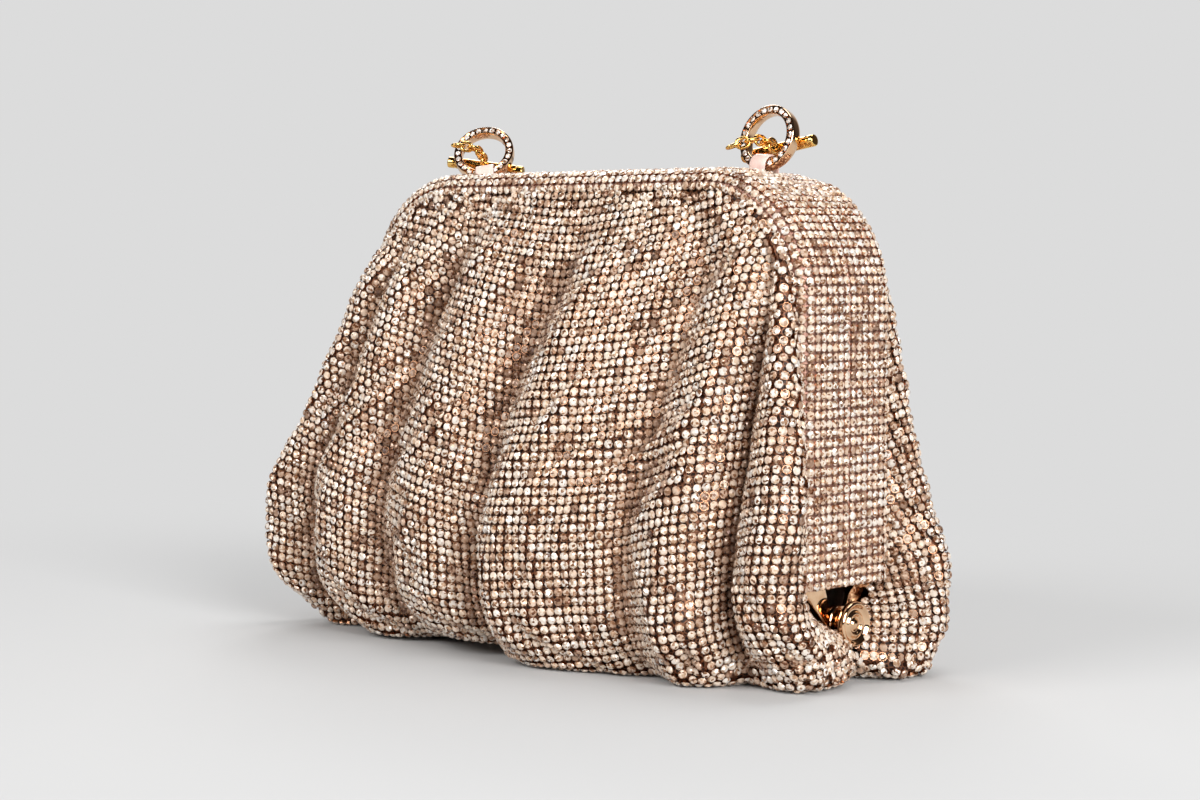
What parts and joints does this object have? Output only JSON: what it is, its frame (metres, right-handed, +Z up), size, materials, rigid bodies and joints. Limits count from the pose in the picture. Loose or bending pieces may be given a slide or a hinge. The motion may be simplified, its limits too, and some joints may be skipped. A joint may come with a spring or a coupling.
{
  "type": "handbag",
  "caption": "Evening clutch: soft crystal-mesh pouch gathered on a hinged two-half arch frame, with crystal-set rings, toggle bars and short chain on top.",
  "frame": {"origin": "on the ground under the middle of the bag's box; the frame's middle lies 10.6 mm to its right", "axes": "+X along the bag towards the hinge seen in the picture, -Y the front panel, +Z up"},
  "size_m": [0.2488, 0.1193, 0.1828],
  "materials": {
    "crystal_mesh": "round crystals in small metal cups on a mesh",
    "satin_lining": "satin",
    "satin_tab": "satin",
    "plain_steel": "plain",
    "rose_gold": "polished plate",
    "yellow_gold": "polished plate"
  },
  "bodies": {
    "pouch": {"front_mesh_panel": "crystal_mesh", "back_mesh_panel": "crystal_mesh", "satin_lining": "satin_lining", "hinge_pin_right": "rose_gold", "hinge_barrel_right": "rose_gold", "hinge_cap_right": "rose_gold", "hinge_pin_left": "rose_gold", "hinge_barrel_left": "rose_gold", "hinge_cap_left": "rose_gold"},
    "front_half": {"front_frame": "rose_gold", "front_frame_cover": "crystal_mesh", "front_retaining_strip": "plain_steel", "front_magnet_right": "plain_steel", "front_magnet_left": "plain_steel"},
    "back_half": {"back_frame": "rose_gold", "back_frame_cover": "crystal_mesh", "back_retaining_strip": "plain_steel", "back_magnet_right": "plain_steel", "back_magnet_left": "plain_steel", "satin_tab_right": "satin_tab", "satin_tab_left": "satin_tab"},
    "ring_right": {"toggle_ring_right": "rose_gold"},
    "bar_right": {"toggle_bar_right": "yellow_gold"},
    "link_right_1": {"chain_link_right_1": "yellow_gold"},
    "link_right_2": {"chain_link_right_2": "yellow_gold"},
    "link_right_3": {"chain_link_right_3": "yellow_gold"},
    "link_right_4": {"chain_link_right_4": "yellow_gold"},
    "link_right_5": {"chain_link_right_5": "yellow_gold"},
    "ring_left": {"toggle_ring_left": "rose_gold"},
    "bar_left": {"toggle_bar_left": "yellow_gold"},
    "link_left_1": {"chain_link_left_1": "yellow_gold"},
    "link_left_2": {"chain_link_left_2": "yellow_gold"},
    "link_left_3": {"chain_link_left_3": "yellow_gold"},
    "link_left_4": {"chain_link_left_4": "yellow_gold"},
    "link_left_5": {"chain_link_left_5": "yellow_gold"}
  },
  "joints": [
    {"name": "front_open", "type": "hinge", "parent": "pouch", "child": "front_half", "pos_m": [0.01061, 0, 0.016], "axis": [1, 0, 0], "range_deg": [0, 30], "deforming": ["front_mesh_panel", "satin_lining"]},
    {"name": "back_open", "type": "hinge", "parent": "pouch", "child": "back_half", "pos_m": [0.01061, 0, 0.016], "axis": [-1, 0, 0], "range_deg": [0, 30], "deforming": ["back_mesh_panel", "satin_lining"]},
    {"name": "ring_right_swing", "type": "hinge", "parent": "back_half", "child": "ring_right", "pos_m": [0.07224, 0.0046, 0.16262], "axis": [0.9981, 0, -0.061], "range_deg": [-12, 12]},
    {"name": "bar_right_roll", "type": "hinge", "parent": "ring_right", "child": "bar_right", "pos_m": [0.07307, 0.01132, 0.16862], "axis": [0.9827, 0.0667, 0.173], "range_deg": [-8, 8]},
    {"name": "link_right_1_swing", "type": "hinge", "parent": "bar_right", "child": "link_right_1", "pos_m": [0.07317, 0.00575, 0.17021], "axis": [-0.1846, 0.2674, 0.9457], "range_deg": [-6, 6]},
    {"name": "link_right_2_swing", "type": "hinge", "parent": "link_right_1", "child": "link_right_2", "pos_m": [0.07322, 0.00272, 0.17108], "axis": [0.9827, 0.0667, 0.173], "range_deg": [-6, 6]},
    {"name": "link_right_3_swing", "type": "hinge", "parent": "link_right_2", "child": "link_right_3", "pos_m": [0.07232, -0.00037, 0.17124], "axis": [-0.2181, 0.1385, 0.966], "range_deg": [-6, 6]},
    {"name": "link_right_4_swing", "type": "hinge", "parent": "link_right_3", "child": "link_right_4", "pos_m": [0.07061, -0.00305, 0.17067], "axis": [-0.836, 0.5062, -0.2116], "range_deg": [-6, 6]},
    {"name": "link_right_5_swing", "type": "hinge", "parent": "link_right_4", "child": "link_right_5", "pos_m": [0.0684, -0.00509, 0.16954], "axis": [0.3446, 0.1032, -0.9331], "range_deg": [-6, 6]},
    {"name": "ring_left_swing", "type": "hinge", "parent": "back_half", "child": "ring_left", "pos_m": [-0.05703, 0.0046, 0.16183], "axis": [0.778, 0.6078, 0.1588], "range_deg": [-12, 12]},
    {"name": "bar_left_roll", "type": "hinge", "parent": "ring_left", "child": "bar_left", "pos_m": [-0.06309, 0.01032, 0.16552], "axis": [0.8819, 0.4521, -0.1337], "range_deg": [-8, 8]},
    {"name": "link_left_1_swing", "type": "hinge", "parent": "bar_left", "child": "link_left_1", "pos_m": [-0.06049, 0.00618, 0.16864], "axis": [-0.1482, 0.535, 0.8318], "range_deg": [-6, 6]},
    {"name": "link_left_2_swing", "type": "hinge", "parent": "link_left_1", "child": "link_left_2", "pos_m": [-0.05908, 0.00393, 0.17034], "axis": [0.8819, 0.4521, -0.1337], "range_deg": [-6, 6]},
    {"name": "link_left_3_swing", "type": "hinge", "parent": "link_left_2", "child": "link_left_3", "pos_m": [-0.0586, 0.00104, 0.17167], "axis": [-0.1226, 0.4209, 0.8988], "range_deg": [-6, 6]},
    {"name": "link_left_4_swing", "type": "hinge", "parent": "link_left_3", "child": "link_left_4", "pos_m": [-0.05911, -0.00205, 0.17244], "axis": [-0.9904, 0.074, -0.1164], "range_deg": [-6, 6]},
    {"name": "link_left_5_swing", "type": "hinge", "parent": "link_left_4", "child": "link_left_5", "pos_m": [-0.06043, -0.00499, 0.17265], "axis": [0.1417, -0.1582, -0.9772], "range_deg": [-6, 6]}
  ],
  "couplings": [
    {"joint": "back_open", "follows": "front_open", "ratio": 1}
  ]
}
